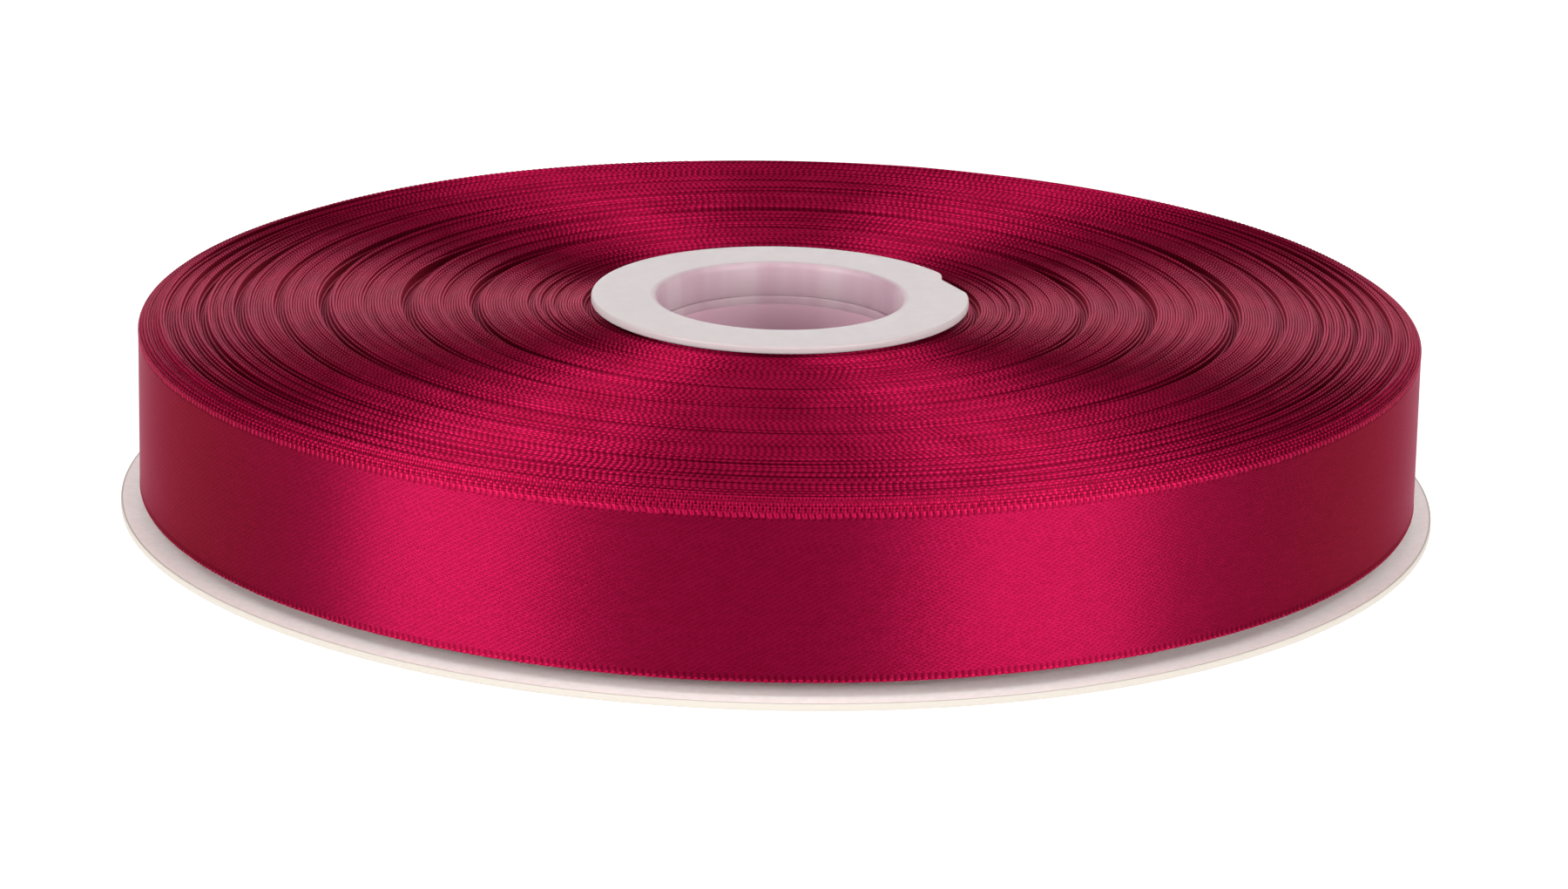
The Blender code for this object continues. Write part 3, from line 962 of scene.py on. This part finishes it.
def flange_rim(bottom, top):
    middle = FLANGE_RADIUS - RIM
    inner_run = [(FLANGE_RADIUS - RIM_RUN, top)]
    outer_run = [(FLANGE_RADIUS - RIM_RUN, bottom)]
    return inner_run + corner(middle, top - RIM, RIM, 90, 0) + corner(
        middle, bottom + RIM, RIM, 0, -90) + outer_run


upper = flange_rim(UPPER_FLANGE_BOTTOM, HUB_TOP)
upper += [(BARREL_RADIUS, UPPER_FLANGE_BOTTOM)]
upper += corner(BARREL_RADIUS - EASE, SHOULDER + EASE, EASE, 0, -90, 3)
upper += [(NECK_RADIUS + GAP, SHOULDER), (NECK_RADIUS + GAP, NECK_TOP + SEAT)]
upper += corner(COLLAR_BORE + SEAT_EASE, NECK_TOP + SEAT + SEAT_EASE, SEAT_EASE, 270, 180, 3)
upper += corner(COLLAR_BORE + LIP, HUB_TOP - LIP, LIP, 180, 90, 8)
upper_hub = swept_ring("hub_upper_half", upper, HUB_SEGMENTS, PLASTIC, notched)
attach(upper_hub, "hub_top")
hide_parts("upper_hub")

lower = corner(NECK_RADIUS - EASE, NECK_TOP - EASE, EASE, 90, 0, 3)
lower += [(NECK_RADIUS, SHOULDER - GAP), (BARREL_RADIUS, SHOULDER - GAP)]
lower += [(BARREL_RADIUS, FLANGE_THICKNESS)] + flange_rim(0.0, FLANGE_THICKNESS)
lower += corner(BORE + LIP, LIP, LIP, 270, 180, 8)
lower += [(BORE, NECK_TOP - LEAD_IN[0]), (BORE + LEAD_IN[1], NECK_TOP - LEAD_IN[0])]
lower += corner(BORE + LEAD_IN[1] + SEAT_EASE, NECK_TOP - SEAT_EASE, SEAT_EASE, 180, 90, 3)
lower_hub = swept_ring("hub_lower_half", lower, HUB_SEGMENTS, PLASTIC, notched)
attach(lower_hub, "hub_and_roll")
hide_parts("lower_hub")

# %% [markdown]
# ## The disc
#
# The disc is die-cut from white-coated paperboard. Board is never quite flat and its cut edge
# isn't coated: it is a little wavy, and the edge shows the cream colour of the fibres.

# %% Make the disc
DISC_HOLE, DISC_RADIUS, DISC_LOW, DISC_TOP = ring_sizes("base_disc")
COATED_WHITE = (0.95, 0.91, 0.88, 1.0)
CUT_CREAM = (0.43, 0.395, 0.350, 1.0)


def make_board():
    material, tree, shader = new_material("coated board")
    place = object_place(tree)
    reach, _ = axis_distance(tree, place)
    edge = remap(tree, reach, DISC_RADIUS - 0.25 * MM, DISC_RADIUS - 0.12 * MM, 0.0, 1.0)
    fibres = noise_at(tree, place, 1400.0, 4.0)
    speckle = remap(tree, fibres, 0.35, 0.65, 0.0, 0.10)
    coat = blend_colour(tree, speckle, COATED_WHITE, CUT_CREAM)
    plug(tree, shader.inputs["Base Color"], blend_colour(tree, edge, coat, CUT_CREAM))
    plug(tree, shader.inputs["Roughness"], remap(tree, edge, 0.0, 1.0, 0.55, 0.9))
    raise_surface(tree, shader, fibres, 0.02 * MM)
    return material


BOARD = make_board()
BOARD_WAVE = 0.12 * MM


def board_lift(r, angle):
    """The board bends by a tenth of a millimetre or two towards its rim."""
    share = (r - DISC_HOLE) / (DISC_RADIUS - DISC_HOLE)
    wave = math.sin(2 * angle + 0.8) + 0.6 * math.sin(3 * angle + 2.1) + 0.3 * math.sin(7 * angle)
    return BOARD_WAVE * wave * share * share / 1.9


def disc_outline():
    steps = 12
    radii = [DISC_HOLE + (DISC_RADIUS - DISC_HOLE - EASE) * n / steps for n in range(steps + 1)]
    outline = [(r, DISC_TOP) for r in radii]
    outline += corner(DISC_RADIUS - EASE, DISC_TOP - EASE, EASE, 90, 0, 3)
    outline += corner(DISC_RADIUS - EASE, DISC_LOW + EASE, EASE, 0, -90, 3)
    return outline + [(r, DISC_LOW) for r in reversed(radii)]


disc = swept_ring("board_disc", disc_outline(), DISC_SEGMENTS, BOARD, None, board_lift)
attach(disc, "disc")
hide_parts("base_disc")

# %% [markdown]
# ## The tapes
#
# Two pieces of clear tape finish the roll: one fixes the ribbon's start to the barrel, and one
# holds its free end down, behind. Tape is a thin film with a weak shine, so it is a bent strip
# with rounded corners. Its sizes are the tape nodes' own boxes, turned to where they stand.

# %% Lay the tapes
FILM = 0.05 * MM
FILM_COLOUR = (0.80, 0.78, 0.76, 1.0)
STEP_RUN = 0.9 * MM
ON_BARREL = 0.25 * MM
ON_RIBBON = 0.02 * MM


def make_tape():
    material, tree, shader = new_material("clear tape")
    streaks = noise_at(tree, object_place(tree), 260.0, 2.0)
    plug(tree, shader.inputs["Roughness"], remap(tree, streaks, 0.3, 0.7, 0.12, 0.3))
    raise_surface(tree, shader, streaks, 0.03 * MM)
    settle(shader, {"Base Color": FILM_COLOUR, "Alpha": 0.03})
    return material


TAPE = make_tape()


def lay_tape(name, node, radius, tape_angle, step_down=0.0):
    """A bent strip of film the size of the CAD tape; it steps down past the ribbon's end."""
    low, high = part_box(node)
    points = [Vector((v.co.x, v.co.y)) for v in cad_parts[node].data.vertices]
    middle = Vector((math.cos(tape_angle), math.sin(tape_angle)))
    sweep = max(abs(middle.angle_signed(point)) for point in points)
    columns, rows, round_off = 80, 8, 0.8 * MM
    vertices, faces = [], []
    for outward in (FILM, 0.0):
        for column in range(columns + 1):
            across = (column / columns - 0.5) * 2
            from_end = (1 - abs(across)) * sweep * radius
            pull = 0.0
            if from_end < round_off:
                pull = round_off - math.sqrt(round_off**2 - (round_off - from_end) ** 2)
            angle = tape_angle + across * sweep
            past_end = max(0.0, min(1.0, across * sweep * radius / STEP_RUN))
            reach = radius + outward - step_down * past_end
            for row in range(rows + 1):
                z = low.z + pull + (high.z - low.z - 2 * pull) * row / rows
                vertices.append((reach * math.cos(angle), reach * math.sin(angle), z))
    layer = (columns + 1) * (rows + 1)
    for column in range(columns):
        for row in range(rows):
            a = column * (rows + 1) + row
            b = a + rows + 1
            faces.append((a, b, b + 1, a + 1))
            faces.append((layer + a, layer + a + 1, layer + b + 1, layer + b))
    border = [column * (rows + 1) for column in range(columns + 1)]
    border += [columns * (rows + 1) + row for row in range(1, rows + 1)]
    border += [column * (rows + 1) + rows for column in reversed(range(columns))]
    border += [row for row in reversed(range(1, rows))]
    for here, following in zip(border, border[1:] + border[:1]):
        faces.append((here, layer + here, layer + following, following))
    mesh = bpy.data.meshes.new(name)
    mesh.from_pydata(vertices, [], faces)
    mesh.materials.append(TAPE)
    mesh.shade_smooth()
    mesh.set_sharp_from_angle(angle=SHARP_EDGE)
    piece = new_object(name, mesh)
    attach(piece, "hub_and_roll")
    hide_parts(node)
    return piece


lay_tape("barrel_tape", "start_tape", BARREL_RADIUS + ON_BARREL, 0.0)
ribbon_face = ROLL_RADIUS + RIBBON_THICKNESS / 2
lay_tape("closing_tape", "end_tape", ribbon_face + ON_RIBBON, END_ANGLE, TURN_PITCH)

# %% [markdown]
# ## Floor and studio light
#
# Satin is dark where it reflects nothing and bright where it reflects a lamp, so the lamps are
# placed for their reflections. A round wall turns twice as fast as the light seems to: a box at
# 50 degrees to the side shows at 25 degrees on the wall. The floor is a light table, which glows
# a little. It lifts the shadows and keeps the floor white, as under a product on a light table.

# %% Place the floor and the lamps
FLOOR_REACH = 4.0
FLOOR_GREY = (0.35, 0.35, 0.35, 1.0)
FLOOR_GLOW = 0.85
SKY_LOW = (0.10, 0.25)
SKY_HIGH = (0.65, 2.10)
LAMP_COLOUR = (1.0, 1.0, 1.0)

table_material, _, table_shader = new_material("light table")
settle(table_shader, {"Base Color": FLOOR_GREY, "Roughness": 0.9, "Specular IOR Level": 0.1})
settle(table_shader, {"Emission Color": (1.0, 1.0, 1.0, 1.0), "Emission Strength": FLOOR_GLOW})
table_mesh = bpy.data.meshes.new("light_table")
corners = [(-1, -1), (1, -1), (1, 1), (-1, 1)]
table_mesh.from_pydata([(x * FLOOR_REACH, y * FLOOR_REACH, 0.0) for x, y in corners], [],
                       [(0, 1, 2, 3)])
table_mesh.materials.append(table_material)
table = new_object("light_table", table_mesh)

bpy.context.scene.view_settings.view_transform = "Standard"
world = bpy.data.worlds.new("studio")
bpy.context.scene.world = world
world.use_nodes = True
sky = world.node_tree
direction = add(sky, "ShaderNodeTexCoord").outputs["Generated"]
height = add(sky, "ShaderNodeSeparateXYZ", {"Vector": direction}).outputs["Z"]
glow = remap(sky, height, SKY_LOW[0], SKY_HIGH[0], SKY_LOW[1], SKY_HIGH[1], "SMOOTHSTEP")
plug(sky, sky.nodes["Background"].inputs["Strength"], glow)


def soft_box(name, azimuth, elevation, distance, size, power):
    """A rectangular lamp that faces the origin; azimuth 0 is the camera's side."""
    lamp = bpy.data.lights.new(name, "AREA")
    lamp.shape = "RECTANGLE"
    lamp.size, lamp.size_y = size
    lamp.energy = power
    lamp.color = LAMP_COLOUR
    side, up = math.radians(azimuth), math.radians(elevation)
    towards = Vector((math.sin(side) * math.cos(up), -math.cos(side) * math.cos(up), math.sin(up)))
    holder = new_object(name, lamp)
    turn = (-towards).to_track_quat("-Z", "Y").to_matrix().to_4x4()
    holder.matrix_world = Matrix.Translation(towards * distance) @ turn


soft_box("left_box", -54, 10, 0.9, (0.60, 0.50), 12.4)
soft_box("right_box", 46, 10, 0.9, (0.62, 0.50), 12.4)
soft_box("back_box", 180, 14, 1.2, (1.2, 0.35), 3.4)
soft_box("left_high_box", -76, 50, 0.9, (0.40, 0.40), 2.0)
soft_box("right_high_box", 76, 50, 0.9, (0.40, 0.40), 2.0)
soft_box("top_box", 0, 80, 0.9, (0.22, 0.50), 0.7)
